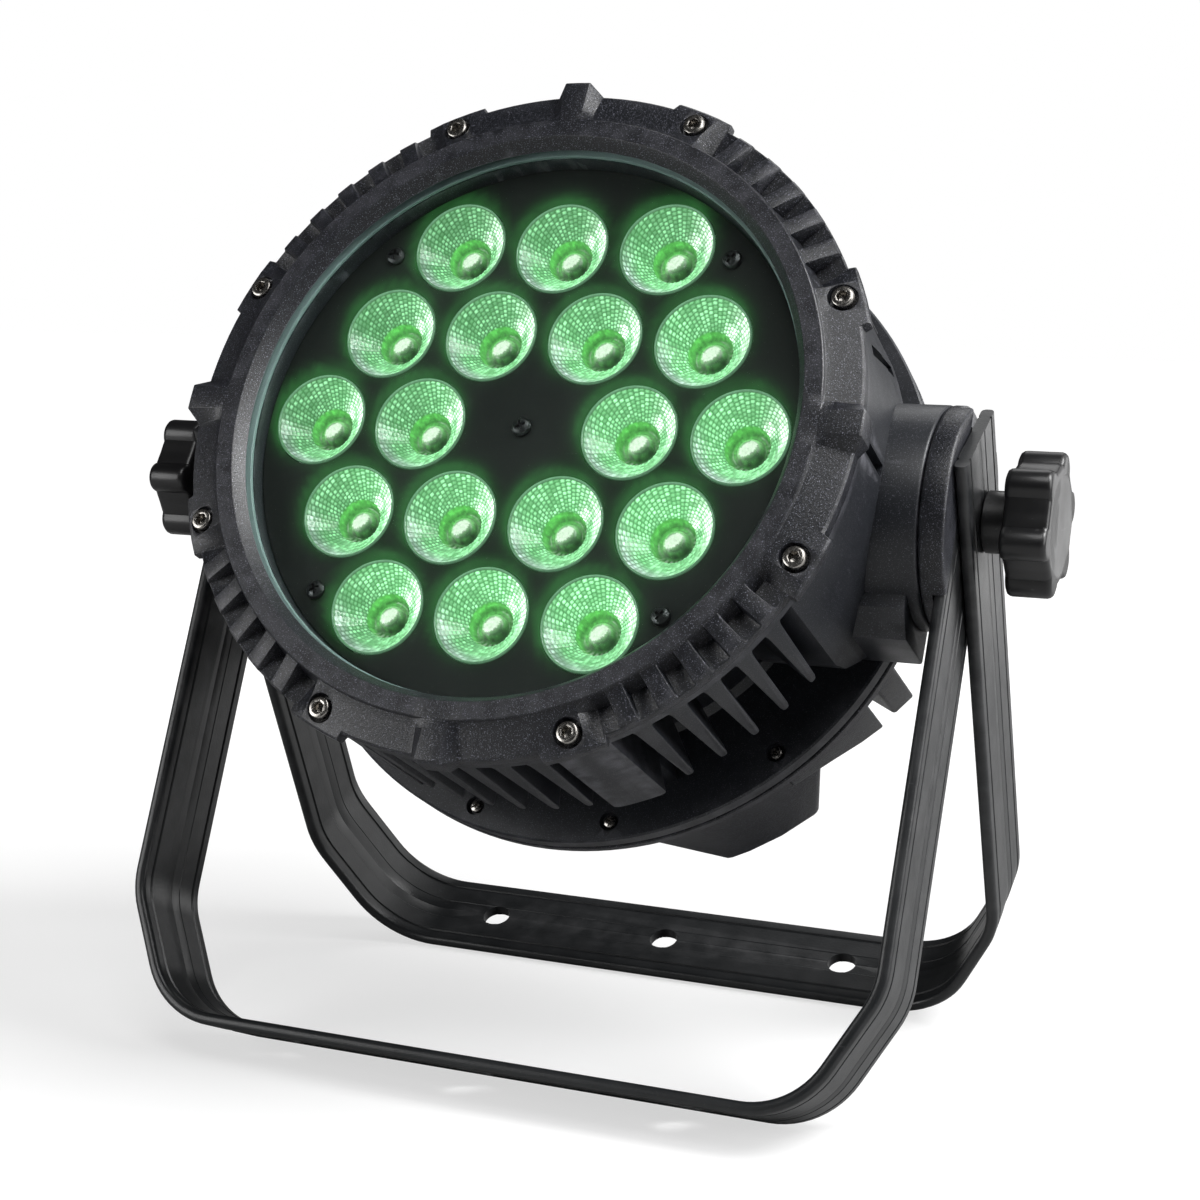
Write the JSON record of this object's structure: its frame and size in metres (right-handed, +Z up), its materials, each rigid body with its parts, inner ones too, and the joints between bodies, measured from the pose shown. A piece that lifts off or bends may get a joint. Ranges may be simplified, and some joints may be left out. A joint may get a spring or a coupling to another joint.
{
  "type": "led par can light",
  "caption": "Outdoor LED par can: round finned cast head with a lens array behind glass, tilting between the legs of a double yoke that opens as a floor stand.",
  "frame": {"origin": "on the floor under the middle of the object's box, with the yokes open as a stand", "axes": "+Z up, the light's front faces -Y and is tilted up, the tilt axis runs along X"},
  "size_m": [0.39, 0.277, 0.3909],
  "materials": {
    "cast_housing": "fine textured satin black powder coat on cast aluminium",
    "yoke_strip": "satin black powder coat on extruded aluminium strip",
    "cover_glass": "clear tempered glass, faint green tint",
    "lens_plastic": "clear moulded collimator lit green by its LED",
    "black_plate": "satin black moulded plate",
    "circuit_board": "white solder mask",
    "stainless_steel": "stainless steel fasteners and fittings",
    "black_screws": "blackened steel",
    "seal_rubber": "matt black silicone seal",
    "socket_plastic": "black moulded socket body",
    "knob_plastic": "glossy black moulded grip",
    "panel_plastic": "dark display panel",
    "button_plastic": "grey membrane key"
  },
  "bodies": {
    "front_stand": {"front_yoke": "yoke_strip", "trunnion_disc_right": "cast_housing", "trunnion_disc_left": "cast_housing"},
    "head": {"front_bezel": "cast_housing", "housing": "cast_housing", "rear_cover": "cast_housing", "front_glass": "cover_glass", "lens_1": "lens_plastic", "lens_2": "lens_plastic", "lens_3": "lens_plastic", "lens_4": "lens_plastic", "lens_5": "lens_plastic", "lens_6": "lens_plastic", "lens_7": "lens_plastic", "lens_8": "lens_plastic", "lens_9": "lens_plastic", "lens_10": "lens_plastic", "lens_11": "lens_plastic", "lens_12": "lens_plastic", "lens_13": "lens_plastic", "lens_14": "lens_plastic", "lens_15": "lens_plastic", "lens_16": "lens_plastic", "lens_17": "lens_plastic", "lens_18": "lens_plastic", "lens_plate": "black_plate", "led_board": "circuit_board", "driver_unit": "circuit_board", "bezel_screw_1": "stainless_steel", "bezel_screw_2": "stainless_steel", "bezel_screw_3": "stainless_steel", "bezel_screw_4": "stainless_steel", "bezel_screw_5": "stainless_steel", "bezel_screw_6": "stainless_steel", "bezel_screw_7": "stainless_steel", "bezel_screw_8": "stainless_steel", "vent_plug": "stainless_steel", "safety_eye": "stainless_steel", "plate_screw_1": "black_screws", "plate_screw_2": "black_screws", "plate_screw_3": "black_screws", "plate_screw_4": "black_screws", "plate_screw_5": "black_screws", "bezel_gasket": "seal_rubber", "rear_gasket": "seal_rubber", "data_inlet": "socket_plastic", "data_outlet": "socket_plastic", "power_inlet": "socket_plastic", "power_outlet": "socket_plastic", "display_panel": "panel_plastic"},
    "rear_stand": {"rear_yoke": "yoke_strip"},
    "right_knob": {"knob_right": "knob_plastic", "clamp_stud_right": "stainless_steel"},
    "left_knob": {"knob_left": "knob_plastic", "clamp_stud_left": "stainless_steel"},
    "key_1": {"button_1": "button_plastic"},
    "key_2": {"button_2": "button_plastic"},
    "key_3": {"button_3": "button_plastic"},
    "key_4": {"button_4": "button_plastic"}
  },
  "joints": [
    {"name": "head_tilt", "type": "hinge", "parent": "front_stand", "child": "head", "pos_m": [0, 0.00219, 0.22686], "axis": [1, 0, 0], "range_deg": [-63.7, 116.3]},
    {"name": "rear_yoke_swing", "type": "hinge", "parent": "front_stand", "child": "rear_stand", "pos_m": [0, 0.00219, 0.22686], "axis": [1, 0, 0], "range_deg": [-49, 41]},
    {"name": "right_knob_turn", "type": "hinge", "parent": "front_stand", "child": "right_knob", "pos_m": [0, 0.00219, 0.22686], "axis": [1, 0, 0], "continuous": true},
    {"name": "left_knob_turn", "type": "hinge", "parent": "front_stand", "child": "left_knob", "pos_m": [0, 0.00219, 0.22686], "axis": [1, 0, 0], "continuous": true},
    {"name": "key_1_press", "type": "slide", "parent": "head", "child": "key_1", "axis": [0, -0.8965, 0.4431], "range_m": [0, 0.001], "stiffness_N_per_m": 400, "springref_m": -0.0005},
    {"name": "key_2_press", "type": "slide", "parent": "head", "child": "key_2", "axis": [0, -0.8965, 0.4431], "range_m": [0, 0.001], "stiffness_N_per_m": 400, "springref_m": -0.0005},
    {"name": "key_3_press", "type": "slide", "parent": "head", "child": "key_3", "axis": [0, -0.8965, 0.4431], "range_m": [0, 0.001], "stiffness_N_per_m": 400, "springref_m": -0.0005},
    {"name": "key_4_press", "type": "slide", "parent": "head", "child": "key_4", "axis": [0, -0.8965, 0.4431], "range_m": [0, 0.001], "stiffness_N_per_m": 400, "springref_m": -0.0005}
  ]
}
